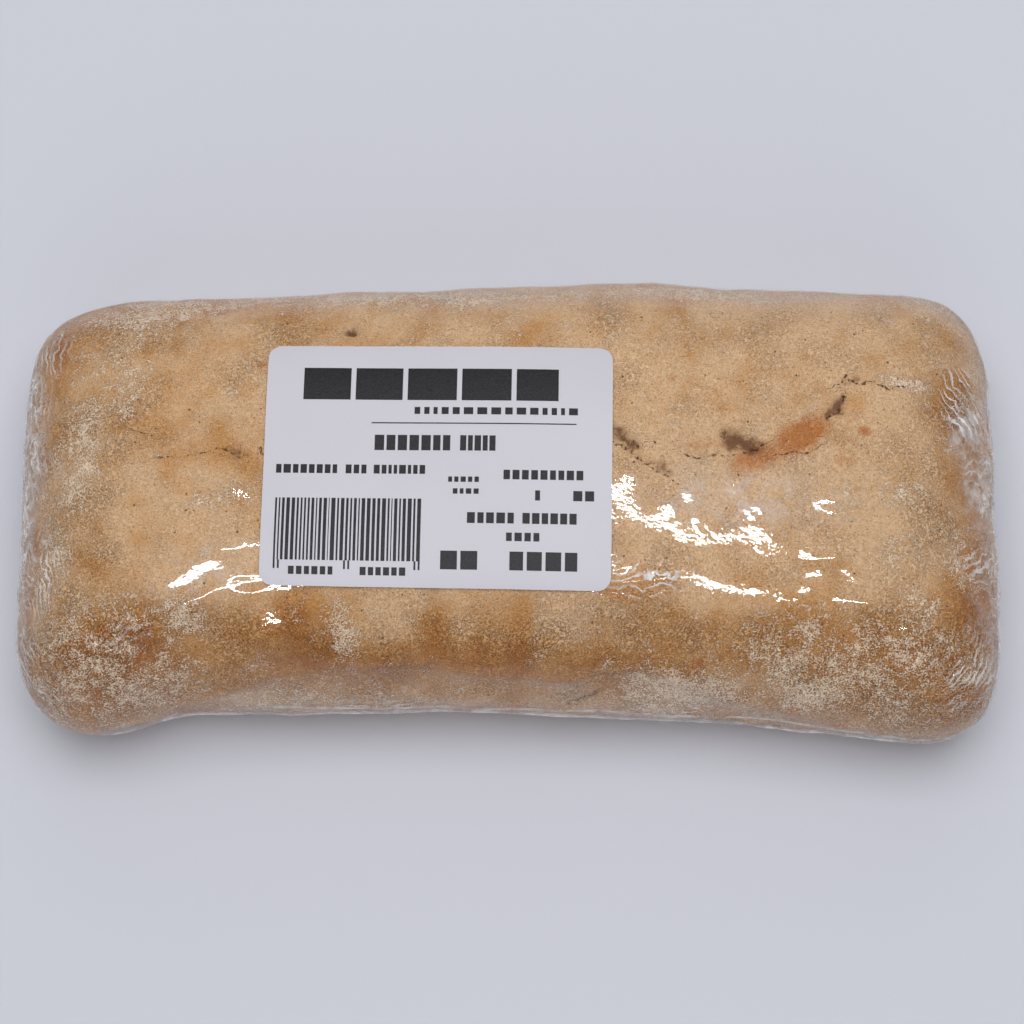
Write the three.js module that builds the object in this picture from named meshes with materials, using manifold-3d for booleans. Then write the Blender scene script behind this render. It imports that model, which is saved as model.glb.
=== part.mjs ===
// A ciabatta roll as it is sold: one flat brick-shaped loaf, pulled tight into clear stretch
// film, with a paper shelf label stuck on top of the film.
//
// Millimetres, +Z up. X runs along the roll, -Y is its front side, and Z = 0 is the surface
// it lies on. The origin is the middle of the underside of the wrapped roll's box.

import * as THREE from 'three';
import { mergeVertices } from 'three/addons/utils/BufferGeometryUtils.js';
import Module from 'manifold-3d';

// ---------------------------------------------------------------- driving dimensions

const wrappedHalfLength = 83.4;
const wrappedHalfWidth = 37.3;
const wrappedHeight = 38;

// The flanks bulge out furthest at this height, and the underside is cut flat where a full
// round underside would reach down below the surface by the given share of that height.
const bulgeHeight = 13.5;
const undersideOvershoot = 1.25;

// The rounded shoulder is this wide. The corners in plan are squarer than a circle, and the
// shoulders in section are a little fuller than one.
const shoulderWidth = 27;
const cornerSquareness = 4.5;
const shoulderFullness = 2.25;

// The roll was stretched by hand: it is a little wider at the right end, its two ends droop
// towards the front, and its front corners swell out either side of a waist.
const widening = 0.05;
const droop = 3.2;
const droopNeutral = 0.35;
const frontLeftSwell = { x: -70, reach: 16, out: 4.2 };
const frontRightSwell = { x: 70, reach: 18, out: 1.4 };
const frontLeftNotch = { x: -55, reach: 8, out: -1.0 };
const backLeftSwell = { x: -64, reach: 9, out: 0.9 };
const backMiddleSwell = { x: 18, reach: 15, out: 0.8 };
const leftEndSwell = { y: 8, reach: 14, out: 0.6 };
const rightEndSwell = { y: -2, reach: 14, out: 0.9 };

// The crown sinks towards the ends and sides, and has a few broad low lumps.
const crownFallAlong = 2.6;
const crownFallAcross = 0.8;
const lumpHeight = 0.55;
const lumpLength = 19;
const lumpWidth = 15;

// The film is far thinner than this in life, about 0.015 mm, but a solid needs a wall.
const filmWall = 0.4;
const touchGap = 0.35;
const filmStandOffAtEnds = 1.3;

// Under the roll the edges of the film don't quite meet.
const undersideGapLength = 112;
const undersideGapWidth = 9;

const labelLength = 57;
const labelWidth = 41;
const labelThickness = 0.25;
const labelCornerRadius = 2.2;
const labelCentre = { x: -11.6, y: 0.6 };
const labelTurn = THREE.MathUtils.degToRad(-0.8);

// Facets along X, Y and Z of the loaf and of each face of the film.
const facets = { x: 36, y: 18, z: 9 };
const labelFacets = { x: 22, y: 16 };

// ---------------------------------------------------------------- the form of the roll

function bell(position, centre, reach) {
  return Math.exp(-(((position - centre) / reach) ** 2));
}

// A block whose edges are rounded by a superellipse, made from a point on a box of the
// same half length and half width whose third coordinate runs from -1 to 1.
function roundedBlock(point, halfLength, halfWidth, shoulder) {
  const coreX = THREE.MathUtils.clamp(point.x, shoulder - halfLength, halfLength - shoulder);
  const coreY = THREE.MathUtils.clamp(point.y, shoulder - halfWidth, halfWidth - shoulder);
  const outX = (point.x - coreX) / shoulder;
  const outY = (point.y - coreY) / shoulder;
  const outZ = point.z;
  const boxNorm = Math.max(Math.abs(outX), Math.abs(outY), Math.abs(outZ));
  const planNorm = (Math.abs(outX) ** cornerSquareness + Math.abs(outY) ** cornerSquareness)
    ** (1 / cornerSquareness);
  const roundNorm = (planNorm ** shoulderFullness + Math.abs(outZ) ** shoulderFullness)
    ** (1 / shoulderFullness);
  const pull = boxNorm / roundNorm;
  return new THREE.Vector3(
    coreX + outX * pull * shoulder,
    coreY + outY * pull * shoulder,
    outZ * pull,
  );
}

function sidewaysSwell(along, front, back) {
  const swells = [
    [frontLeftSwell, -front],
    [frontRightSwell, -front],
    [frontLeftNotch, -front],
    [backLeftSwell, back],
    [backMiddleSwell, back],
  ];
  return swells.reduce((sum, [swell, side]) =>
    sum + side * swell.out * bell(along, swell.x, swell.reach), 0);
}

// The point of the roll's skin, a given distance inside the outside of the film.
function skinPoint(boxPoint, inset, endInset) {
  const halfLength = wrappedHalfLength - endInset;
  const halfWidth = wrappedHalfWidth - inset;
  const block = roundedBlock(
    new THREE.Vector3(boxPoint.x * halfLength, boxPoint.y * halfWidth, boxPoint.z),
    halfLength, halfWidth, shoulderWidth - inset,
  );
  const along = block.x / wrappedHalfLength;
  const across = block.y / wrappedHalfWidth;
  const front = THREE.MathUtils.clamp(-across, 0, 1);
  const back = THREE.MathUtils.clamp(across, 0, 1);

  const lumps = lumpHeight * Math.sin(block.x / lumpLength + 0.6)
    * Math.cos(block.y / lumpWidth - 0.5);
  const crown = wrappedHeight - inset - bulgeHeight
    - crownFallAlong * along ** 2 - crownFallAcross * across ** 2 + lumps;
  const belly = undersideOvershoot * bulgeHeight;
  const height = bulgeHeight + block.z * (block.z > 0 ? crown : belly);

  const y = block.y * (1 + widening * along)
    + sidewaysSwell(block.x, front, back)
    - droop * (along ** 2 - droopNeutral);
  const rightEnd = THREE.MathUtils.clamp(along, 0, 1) ** 3;
  const leftEnd = THREE.MathUtils.clamp(-along, 0, 1) ** 3;
  const x = block.x
    + rightEnd * rightEndSwell.out * bell(y, rightEndSwell.y, rightEndSwell.reach)
    - leftEnd * leftEndSwell.out * bell(y, leftEndSwell.y, leftEndSwell.reach);
  return new THREE.Vector3(x, y, Math.max(height, inset));
}

function skinGeometry(inset, endInset) {
  const geometry = new THREE.BoxGeometry(2, 2, 2, facets.x, facets.y, facets.z);
  geometry.deleteAttribute('normal');
  geometry.deleteAttribute('uv');
  const closed = mergeVertices(geometry, 1e-4);
  const position = closed.attributes.position;
  const point = new THREE.Vector3();
  for (let i = 0; i < position.count; i += 1) {
    point.fromBufferAttribute(position, i);
    const moved = skinPoint(point, inset, endInset);
    position.setXYZ(i, moved.x, moved.y, moved.z);
  }
  return closed;
}

// ---------------------------------------------------------------- joining and cutting

const wasm = await Module();
wasm.setup();

function toSolid(geometry) {
  const bare = geometry.clone();
  bare.deleteAttribute('normal');
  bare.deleteAttribute('uv');
  const merged = mergeVertices(bare, 1e-4);
  return new wasm.Manifold(new wasm.Mesh({
    numProp: 3,
    vertProperties: new Float32Array(merged.attributes.position.array),
    triVerts: new Uint32Array(merged.index.array),
  }));
}

function toGeometry(solid) {
  const mesh = solid.getMesh();
  const geometry = new THREE.BufferGeometry();
  geometry.setAttribute('position', new THREE.BufferAttribute(mesh.vertProperties, 3));
  geometry.setIndex(new THREE.BufferAttribute(mesh.triVerts, 1));
  geometry.computeVertexNormals();
  return geometry;
}

// ---------------------------------------------------------------- the pieces

function makeLoaf() {
  const geometry = skinGeometry(filmWall + touchGap, filmWall + filmStandOffAtEnds);
  geometry.computeVertexNormals();
  const crust = new THREE.MeshStandardMaterial({ color: 0xcaa277, roughness: 0.85, metalness: 0 });
  const mesh = new THREE.Mesh(geometry, crust);
  mesh.name = 'loaf';
  return mesh;
}

// A long round-ended gap where the edges of the film come together underneath.
function undersideGap() {
  const straight = (undersideGapLength - undersideGapWidth) / 2;
  const radius = undersideGapWidth / 2;
  const outline = new THREE.Shape();
  outline.moveTo(-straight, -radius);
  outline.lineTo(straight, -radius);
  outline.absarc(straight, 0, radius, -Math.PI / 2, Math.PI / 2);
  outline.lineTo(-straight, radius);
  outline.absarc(-straight, 0, radius, Math.PI / 2, Math.PI * 1.5);
  const depth = 3 * filmWall;
  const geometry = new THREE.ExtrudeGeometry(outline, {
    depth, bevelEnabled: false, curveSegments: 8,
  });
  geometry.translate(0, 0, -filmWall);
  return geometry;
}

function makeFilm() {
  const outside = toSolid(skinGeometry(0, 0));
  const inside = toSolid(skinGeometry(filmWall, filmWall));
  const film = outside.subtract(inside).subtract(toSolid(undersideGap()));
  const clearFilm = new THREE.MeshStandardMaterial({
    color: 0xf2f2f5, roughness: 0.08, metalness: 0, transparent: true, opacity: 0.2,
  });
  const mesh = new THREE.Mesh(toGeometry(film), clearFilm);
  mesh.name = 'stretch_film';
  return mesh;
}

// Pulls the square corner of a sheet in to a round one.
function roundCorner(x, y, halfLength, halfWidth, radius) {
  const dx = Math.abs(x) - (halfLength - radius);
  const dy = Math.abs(y) - (halfWidth - radius);
  if (dx <= 0 || dy <= 0) {
    return [x, y];
  }
  const pull = Math.max(dx, dy) / Math.hypot(dx, dy);
  return [
    Math.sign(x) * (halfLength - radius + dx * pull),
    Math.sign(y) * (halfWidth - radius + dy * pull),
  ];
}

// The label lies on the film: each of its points is dropped on to the film from above.
function makeLabel(film) {
  const geometry = new THREE.BoxGeometry(
    labelLength, labelWidth, labelThickness, labelFacets.x, labelFacets.y, 1,
  );
  const position = geometry.attributes.position;
  const caster = new THREE.Raycaster();
  const down = new THREE.Vector3(0, 0, -1);
  film.updateMatrixWorld(true);
  for (let i = 0; i < position.count; i += 1) {
    const [x, y] = roundCorner(
      position.getX(i), position.getY(i), labelLength / 2, labelWidth / 2, labelCornerRadius,
    );
    const turned = new THREE.Vector2(x, y).rotateAround(new THREE.Vector2(0, 0), labelTurn);
    turned.add(labelCentre);
    caster.set(new THREE.Vector3(turned.x, turned.y, 2 * wrappedHeight), down);
    const filmTop = caster.intersectObject(film)[0].point.z;
    const level = position.getZ(i) > 0 ? labelThickness : 0;
    position.setXYZ(i, turned.x, turned.y, filmTop + touchGap + level);
  }
  geometry.computeVertexNormals();
  const paper = new THREE.MeshStandardMaterial({ color: 0xe4e3ea, roughness: 0.6, metalness: 0 });
  const mesh = new THREE.Mesh(geometry, paper);
  mesh.name = 'shelf_label';
  return mesh;
}

// ---------------------------------------------------------------- the wrapped roll

const film = makeFilm();
const wrappedRoll = new THREE.Group();
wrappedRoll.add(makeLoaf(), film, makeLabel(film));

// The box's middle comes to the origin, and the underside stays on the surface.
const box = new THREE.Box3().setFromObject(wrappedRoll);
const middle = box.getCenter(new THREE.Vector3());
wrappedRoll.position.set(-middle.x, -middle.y, -box.min.z);

export default wrappedRoll;
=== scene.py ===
# %% [markdown]
# # A ciabatta roll in stretch film
#
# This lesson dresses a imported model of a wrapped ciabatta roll. The frame gives three solids at
# their real size: the baked loaf, the skin of clear film round it, and the paper label on top.
# Each is replaced here by a finely modelled piece in the same place.
#
# The real thing is made in this order: a wet dough is cut into a slab, dusted with flour,
# stretched by hand and baked; the cold roll is pulled tight into cling film; a label is stuck
# on. The lesson follows the same order, because each layer rests on the one before it.

# %% Load the frame
import math

import bmesh
import bpy
import numpy as np
from mathutils import Euler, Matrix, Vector, noise
from mathutils.bvhtree import BVHTree


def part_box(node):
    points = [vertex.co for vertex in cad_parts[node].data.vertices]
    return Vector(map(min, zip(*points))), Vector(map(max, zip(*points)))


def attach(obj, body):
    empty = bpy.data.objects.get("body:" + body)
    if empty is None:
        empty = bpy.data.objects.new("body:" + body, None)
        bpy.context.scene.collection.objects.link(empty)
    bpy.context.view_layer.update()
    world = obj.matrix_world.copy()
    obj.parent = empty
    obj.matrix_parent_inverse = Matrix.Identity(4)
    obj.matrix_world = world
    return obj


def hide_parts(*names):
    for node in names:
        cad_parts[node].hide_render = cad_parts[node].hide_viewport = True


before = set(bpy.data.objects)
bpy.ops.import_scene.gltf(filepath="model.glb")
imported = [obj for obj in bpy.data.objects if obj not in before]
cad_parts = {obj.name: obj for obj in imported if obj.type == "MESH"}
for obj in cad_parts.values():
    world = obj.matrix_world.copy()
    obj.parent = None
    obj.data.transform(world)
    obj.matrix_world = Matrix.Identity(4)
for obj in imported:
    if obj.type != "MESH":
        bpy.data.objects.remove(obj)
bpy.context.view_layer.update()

MM = 0.001
loaf_low = np.array(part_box("loaf")[0]) / MM
film_low, film_high = (np.array(corner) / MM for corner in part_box("stretch_film"))
label_low, label_high = (np.array(corner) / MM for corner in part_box("shelf_label"))
print("wrapped roll, mm:", np.round(film_high - film_low, 1))

# %% [markdown]
# ## The camera
#
# The roll is seen from above and a little from its front side, 75 degrees up, through a short
# telephoto lens, so that its sides stay nearly parallel. The camera aims at a point on the
# surface just behind the middle of the roll.

# %% Camera
CAMERA_HEIGHT_ANGLE = math.radians(75)
CAMERA_DISTANCE = 455 * MM
CAMERA_AIM = Vector((0.8, 3.4, 0)) * MM
CAMERA_ROLL = math.radians(0.2)

view_direction = Vector((0, math.cos(CAMERA_HEIGHT_ANGLE), -math.sin(CAMERA_HEIGHT_ANGLE)))
lens = bpy.data.cameras.new("camera")
lens.lens = 90
lens.sensor_width = 36
lens.clip_start = 10 * MM
camera = bpy.data.objects.new("camera", lens)
camera.location = CAMERA_AIM - view_direction * CAMERA_DISTANCE
camera.rotation_euler = Euler((math.pi / 2 - CAMERA_HEIGHT_ANGLE, 0, CAMERA_ROLL))
bpy.context.collection.objects.link(camera)
bpy.context.scene.camera = camera
print("camera at", [round(c, 3) for c in camera.location])

# %% [markdown]
# ## Small helpers
#
# A mesh is handled as arrays of points in millimetres, because every size below is a real one.
# One function adds a node to any tree, and one turns an sRGB hex colour to linear light.

# %% Helpers
def linear(hex_colour):
    """An sRGB colour such as "C8A27A" as linear red, green, blue and 1."""
    parts = [int(hex_colour[i:i + 2], 16) / 255 for i in (0, 2, 4)]
    return [c / 12.92 if c <= 0.04045 else ((c + 0.055) / 1.055) ** 2.4 for c in parts] + [1]


def add(tree, kind, inputs=(), **settings):
    """Adds one node. A node or socket given as an input is linked, anything else is set."""
    made = tree.nodes.new(kind)
    for name, value in settings.items():
        setattr(made, name, value)
    for socket, value in inputs.items() if isinstance(inputs, dict) else enumerate(inputs):
        if isinstance(value, bpy.types.Node):
            value = next(out for out in value.outputs if out.enabled)
        if isinstance(value, bpy.types.NodeSocket):
            tree.links.new(value, made.inputs[socket])
        else:
            made.inputs[socket].default_value = value
    return made


def new_material(name):
    material = bpy.data.materials.new(name)
    material.use_nodes = True
    material.node_tree.nodes.clear()
    return material, material.node_tree


def link_object(name, mesh):
    piece = bpy.data.objects.new(name, mesh)
    bpy.context.collection.objects.link(piece)
    return piece


def finished(obj):
    """The plain mesh that an object's modifiers make."""
    graph = bpy.context.evaluated_depsgraph_get()
    return bpy.data.meshes.new_from_object(obj.evaluated_get(graph))


def points_of(mesh):
    points = np.empty(len(mesh.vertices) * 3)
    mesh.vertices.foreach_get("co", points)
    return points.reshape(-1, 3) / MM


def set_points(mesh, points):
    mesh.vertices.foreach_set("co", (points * MM).ravel())
    mesh.update()


def normals_of(mesh):
    normals = np.empty(len(mesh.vertices) * 3, dtype=np.float32)
    mesh.vertex_normals.foreach_get("vector", normals)
    return normals.reshape(-1, 3).astype(float)


def set_fields(mesh, **fields):
    """Stores a number for each point of the mesh under each name, for its material to read."""
    for name, values in fields.items():
        field = mesh.attributes.new(name, "FLOAT", "POINT")
        field.data.foreach_set("value", np.asarray(values, dtype=np.float32))


def dress(mesh, material, smooth=False):
    """Gives the whole mesh one material and, where asked, smooth shading."""
    mesh.materials.clear()
    mesh.materials.append(material)
    if smooth:
        mesh.polygons.foreach_set("use_smooth", [True] * len(mesh.polygons))


def smoothstep(low, high, value):
    t = np.clip((value - low) / (high - low), 0, 1)
    return t * t * (3 - 2 * t)


def bumps(points, size, seed, octaves=1):
    """Smooth noise of about -1 to 1 whose bumps are about size mm across."""
    spots = points / size + seed * 13.7
    return 1.6 * np.array([noise.fractal(spot, 1.0, 2.0, octaves) for spot in spots.tolist()])


def oval(points, x, y, reach_x, reach_y, turn=0):
    """1 in the middle of an oval seen from above, fading to 0 past its edge."""
    c, s = math.cos(math.radians(turn)), math.sin(math.radians(turn))
    dx, dy = points[:, 0] - x, points[:, 1] - y
    along, across = (dx * c + dy * s) / reach_x, (dy * c - dx * s) / reach_y
    return np.exp(-(along ** 2 + across ** 2) ** 1.3)


def distance_to_path(flat_points, path):
    """The distance of each 2-D point from a line through the path's points."""
    nearest = np.full(len(flat_points), np.inf)
    for start, end in zip(path[:-1], path[1:]):
        start, end = np.array(start, float), np.array(end, float)
        step = end - start
        t = np.clip((flat_points - start) @ step / (step @ step), 0, 1)
        foot = start + t[:, None] * step
        nearest = np.minimum(nearest, np.hypot(*(flat_points - foot).T))
    return nearest

# %% [markdown]
# ## The loaf's form
#
# A ciabatta has no tin to hold it, so its form is a slack slab with rounded shoulders. That form
# is already in the frame as a faceted solid. The facets are rounded by subdivision, then cut
# again into small even cells by a voxel remesh, so that the crust's own relief can be pressed
# into them. A remesh was chosen over a sculpted grid because its cells are the same size on the
# top, the flanks and the ends.

# %% Even mesh of the loaf
CELL = 0.66
SMOOTHING_ROUNDS = 6


def even_form(node, cell):
    """A node's solid, rounded and then cut into small even cells."""
    form = bmesh.new()
    form.from_mesh(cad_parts[node].data)
    bmesh.ops.remove_doubles(form, verts=form.verts, dist=0.001 * MM)
    bmesh.ops.join_triangles(form, faces=form.faces, angle_face_threshold=math.radians(40),
                             angle_shape_threshold=math.radians(60))
    mesh = bpy.data.meshes.new("form")
    form.to_mesh(mesh)
    form.free()
    rough = link_object("form", mesh)
    rounding = rough.modifiers.new("rounding", "SUBSURF")
    rounding.levels = rounding.render_levels = 2
    evening = rough.modifiers.new("evening", "REMESH")
    evening.mode = "VOXEL"
    evening.voxel_size = cell * MM
    even = finished(rough)
    bpy.data.objects.remove(rough)
    return even


form = even_form("loaf", CELL)
edge_ends = np.empty(len(form.edges) * 2, dtype=np.int64)
form.edges.foreach_get("vertices", edge_ends)
edge_a, edge_b = edge_ends.reshape(-1, 2).T
neighbour_count = np.bincount(np.concatenate([edge_a, edge_b]), minlength=len(form.vertices))


def relaxed(values):
    """Each point's value replaced by the mean of its neighbours'."""
    total = np.bincount(edge_a, values[edge_b], len(values))
    total += np.bincount(edge_b, values[edge_a], len(values))
    return total / neighbour_count


base = points_of(form)
for _ in range(SMOOTHING_ROUNDS):
    base = np.stack([relaxed(base[:, i]) for i in range(3)], axis=1)
set_points(form, base)
outward = normals_of(form)
print("loaf form:", len(form.vertices), "points,", 2 * len(form.polygons), "triangles")

# %% [markdown]
# ## The crust's relief
#
# The crust is lumpy where gas lifted it, wrinkled where the dough was gathered, and torn where
# it burst in the oven. Each of these is a height in millimetres along the surface's outward
# direction. Lumps are noise of a few sizes. The tears and creases are given as lines on the top
# or on the front flank.

# %% How far out the film may come
RAY_START = 6
RAY_LENGTH = 8
USUAL_REACH = 0.7
REACH_SMOOTHING_ROUNDS = 30

film_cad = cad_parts["stretch_film"].data
cad_faces = BVHTree.FromPolygons([v.co / MM for v in film_cad.vertices],
                                 [tuple(p.vertices) for p in film_cad.polygons])


def reach_of_film(point, direction):
    """The distance from a point of the loaf's form out to the frame's film."""
    start = Vector(point) + Vector(direction) * RAY_START
    hit = cad_faces.ray_cast(start, -Vector(direction), RAY_LENGTH)
    return RAY_START - hit[3] if hit[0] is not None else USUAL_REACH


reach = np.array([reach_of_film(p, n) for p, n in zip(base.tolist(), outward.tolist())])
for _ in range(REACH_SMOOTHING_ROUNDS):
    reach = relaxed(reach)
print("film lies", round(reach.min(), 2), "to", round(reach.max(), 2), "mm outside the form")

# %% Lumps
x, y, z = base.T
up = smoothstep(0.0, 0.5, outward[:, 2])
front_flank = smoothstep(-16, -24, y) * smoothstep(3, 9, z)
resting = smoothstep(4, 1, z - loaf_low[2])

relief = 0.28 * bumps(base, 15, 1) + 0.20 * bumps(base, 6, 2) + 0.09 * bumps(base, 2.6, 3)
# Each swelling: its middle, its reach along and across the roll, its turn and its height.
SWELLINGS = [
    (-52.5, -20.8, 10, 4.2, 32, 1.1), (-38.5, -25.5, 3.8, 3.4, 50, 1.0), (-24, -27.5, 9, 5, 0, 0.4),
    (-6, -27.5, 6, 5, 0, 0.3), (9, -27.5, 7, 5, 0, 0.35), (57, -25, 9, 7, 0, -0.60),
    (48, 6, 10, 7, 0, 0.50), (54, -12, 9, 8, 0, -0.55),
    (-66, -28, 10, 6, 20, 0.4), (70, -24, 8, 7, 0, 0.25), (-44, -26, 2.5, 6, -20, -0.4),
    (-44, -2.0, 6, 2.6, 8, 0.25), (-58, -12, 8, 4, 0, -0.35),
]
for *place, height in SWELLINGS:
    relief += height * oval(base, *place) * up
print("lumps stand", round(relief.min(), 2), "to", round(relief.max(), 2), "mm")

# %% Tears across the top
# Each tear: its line on the top in mm from the roll's middle, half its width, and its depth.
TEARS = [
    ([(17.2, 7.0), (19.0, 5.6), (20.0, 4.2)], 1.3, 0.7),
    ([(20.2, 3.6), (22.0, 1.9), (24.4, 0.8)], 0.5, 0.5),
    ([(24.6, 1.6), (26.4, 0.2)], 0.9, 0.6),
    ([(28.2, 3.0), (34.0, 3.2), (37.5, 3.4)], 0.4, 0.3),
    ([(35.6, 6.4), (38.0, 5.2), (39.8, 4.6)], 1.7, 0.8),
    ([(52.6, 10.4), (54.2, 11.6), (55.2, 13.6)], 0.9, 0.8),
    ([(55.4, 16.2), (57.4, 16.8)], 0.8, 0.6),
    ([(-46.2, 4.4), (-44.6, 3.4)], 0.9, 0.6), ([(-26.5, 25.5), (-26.1, 25.2)], 0.75, 1.0),
    ([(40.4, 5.2), (42.4, 5.6)], 0.5, 0.5), ([(-1.0, -36.8), (15.4, -33.4)], 0.45, 0.4),
]
LOWEST_TEAR = 20
DARK_AT_DEPTH = 0.8

ragged = base[:, :2] + 0.55 * np.stack([bumps(base, 1.9, 11), bumps(base, 1.9, 12)], axis=1)
# The tears' dark colour is painted shade, darker the deeper the tear.
pit = np.zeros(len(base))
sunk = np.zeros(len(base))
for path, half_width, depth in TEARS:
    beside = distance_to_path(ragged, path) / half_width
    pit = np.maximum(pit, np.exp(-beside ** 2) * depth / DARK_AT_DEPTH)
    sunk = np.maximum(sunk, depth * np.exp(-(beside / 1.4) ** 2))
pit[z < LOWEST_TEAR] = 0
relief -= sunk * up
print("tears reach", round(sunk.max(), 2), "mm deep")

# %% Cracks, far narrower than a cell of the mesh
# Each crack: its line on the top and half its width. The mesh stores how far each point lies to
# the side of the nearest line, with a sign, as if every crack had the same half width, and the
# material paints shade on what lies within that, for a gap too narrow for the mesh.
CRACKS = [
    ([(20.0, 3.4), (21.0, 2.2), (22.4, 1.5), (24.0, 0.3), (25.6, -0.4), (26.6, -1.2)], 0.20),
    ([(28.2, 3.4), (30.6, 2.5), (33.0, 3.0), (35.6, 3.0), (37.6, 3.6), (40.8, 4.4),
      (42.6, 5.6)], 0.15),
    ([(43.8, 3.2), (46.4, 3.8), (48.6, 3.4), (50.8, 4.8)], 0.13),
    ([(52.2, 10.2), (53.6, 10.8), (55.0, 12.2), (55.4, 14.0)], 0.26),
    ([(54.2, 16.0), (56.0, 17.2), (57.6, 16.0), (60.0, 16.6), (62.4, 15.4), (65.0, 16.0)], 0.20),
    ([(-57.7, 2.6), (-53.5, 3.2), (-50.3, 3.6), (-47.6, 4.7), (-44.4, 3.0)], 0.14),
    ([(-62.0, 7.6), (-58.4, 6.4)], 0.10), ([(-40.6, 4.0), (-39.6, 3.0)], 0.3),
    ([(17.4, 5.0), (18.8, 4.2), (19.6, 4.4)], 0.22), ([(-51.0, 28.6), (-49.4, 25.6)], 0.10),
    ([(-3.0, -37.4), (6.0, -35.2), (14.8, -33.6)], 0.13), ([(8.0, -38.4), (20.6, -36.6)], 0.13),
]
COMMON_HALF_WIDTH = 0.2
CRACK_OVERLAP = 0.35
LOWEST_CRACK = 17
NO_CRACK = 9.0

crack_side = np.full(len(base), NO_CRACK)
for path, half_width in CRACKS:
    corners = np.array(path, float)
    for start, end in zip(corners[:-1], corners[1:]):
        length = np.hypot(*(end - start))
        step = (end - start) / length
        along = (base[:, :2] - start) @ step
        side = (base[:, 0] - start[0]) * step[1] - (base[:, 1] - start[1]) * step[0]
        past = np.maximum(0, np.maximum(-along, along - length))
        away = np.where(past < CRACK_OVERLAP, side, np.sign(side) * np.hypot(side, past))
        away = away * COMMON_HALF_WIDTH / half_width
        nearer = np.abs(away) < np.abs(crack_side)
        crack_side[nearer] = away[nearer]
crack_side[z < LOWEST_CRACK] = NO_CRACK
print("cracked points:", int(np.sum(np.abs(crack_side) < 1)))

# %% Creases down the front flank
# Each crease: where it starts and ends, as distances along the roll and heights, then half its
# width and its depth.
CREASES = [
    ((-35.5, 36), (-34.6, 27), 1.5, 0.7),
    ((-12.0, 36), (-12.8, 20), 2.0, 0.9),
    ((-5.2, 34), (-4.4, 22), 1.3, 0.45),
    ((2.4, 36), (1.0, 19), 1.9, 0.75),
    ((15.0, 34), (17.0, 20), 2.0, 0.6),
    ((22.6, 34), (21.4, 24), 1.4, 0.45),
    ((41.0, 33), (40.2, 22), 2.0, 0.45),
]
flank_points = np.stack([x + 0.5 * bumps(base, 7, 4), z], axis=1)
crease = np.zeros(len(base))
for start, end, half_width, depth in CREASES:
    beside = distance_to_path(flank_points, [start, end])
    crease = np.maximum(crease, depth * np.exp(-(beside / half_width) ** 2))
crease *= front_flank
relief -= crease
print("creases reach", round(crease.max(), 2), "mm deep")

# %% [markdown]
# The lower part of the front flank browned less than the part above it, and the two meet along
# a low ledge. Under it the loaf rests flat. At both ends the crust is a little sunk, most at the
# right one, and the film bridges that hollow.

# %% Ledge, hollow ends and flat base
# The height of the ledge at distances along the roll, and its height at the back.
SEAM = ([-84, -56, -37, -12, 2, 22, 45, 84], [9, 16, 26, 27.5, 25, 26.5, 19, 10])
SEAM_AT_BACK = 17
LEDGE_DEPTH = 0.9
CRUST_UNDER_FILM = 0.42

seam_height = np.where(y < 0, np.interp(x, *SEAM), SEAM_AT_BACK) + 0.8 * bumps(base, 9, 5)
below_seam = smoothstep(0.5, -0.5, z - seam_height)
steep = 1 - smoothstep(0.55, 0.85, outward[:, 2])
groove = below_seam * np.exp(-((z - seam_height + 3.0) / 4.0) ** 2) * steep
relief -= LEDGE_DEPTH * groove

right_hollow = smoothstep(72, 80, x) * np.exp(-((y + 1.5) / 6) ** 2)
left_hollow = smoothstep(-76, -81, x) * np.exp(-((y - 4) / 12) ** 2)
relief = relief + reach - CRUST_UNDER_FILM
relief -= 1.5 * right_hollow + 0.4 * left_hollow
relief *= 1 - resting
print("ledge is", round(LEDGE_DEPTH * groove.max(), 2), "mm deep, and the base is flat")

# %% Places where the pulled film presses the crust flat
# Each place: its middle, its reach along and across the roll, its turn, and its slope towards the
# front in degrees.
FLATS = [
    (-50.8, -16.6, 6.4, 2.3, 30, 15.1), (-60.4, -23.6, 3.0, 0.9, 35, 15.1),
    (-44.6, -3.6, 3.0, 0.7, -8, 3.8), (-53.0, -6.0, 4.0, 0.6, 10, 3.8),
    (37.0, -1.8, 2.8, 1.1, 45, 3.8), (41.2, -0.2, 3.4, 1.1, 0, 3.8),
    (45.6, -1.4, 3.0, 1.1, -28, 3.8), (50.6, -3.6, 4.0, 1.5, -10, 3.8),
    (25.2, -6.4, 3.4, 1.0, 50, 3.8), (30.0, -6.6, 3.4, 1.0, -48, 3.8),
    (39.6, -19.2, 3.4, 1.0, -26, 15.1), (45.0, -20.2, 3.4, 1.0, 14, 15.1),
    (50.0, -16.2, 4.0, 1.9, 30, 15.1), (55.4, -16.8, 4.0, 1.9, -30, 15.1),
    (-42.0, -19.0, 2.6, 1.2, 0, 9.5), (-39.4, -23.4, 2.6, 1.9, 45, 15.1),
    (60.5, -22.5, 5.0, 1.6, -18, 21.0),
]
FLAT_CORE = 1.7


def laid_flat(offsets, raised=0):
    """The offsets with the surface made flat at each of FLATS, and raised there by some mm."""
    for *place, slope in FLATS:
        share = np.clip(FLAT_CORE * oval(base, *place), 0, 1) * up
        now = base + outward * offsets[:, None]
        middle = np.sum(now * share[:, None], axis=0) / share.sum()
        flat = middle[2] + raised + math.tan(math.radians(slope)) * (now[:, 1] - middle[1])
        offsets = offsets + share * (flat - now[:, 2]) * outward[:, 2]
    return offsets


relief = laid_flat(relief)
crust_points = base + outward * relief[:, None]
crust_points[:, 2] = np.maximum(crust_points[:, 2], loaf_low[2])
print("loaf spans", np.round(crust_points.max(0) - crust_points.min(0), 1), "mm")
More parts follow.
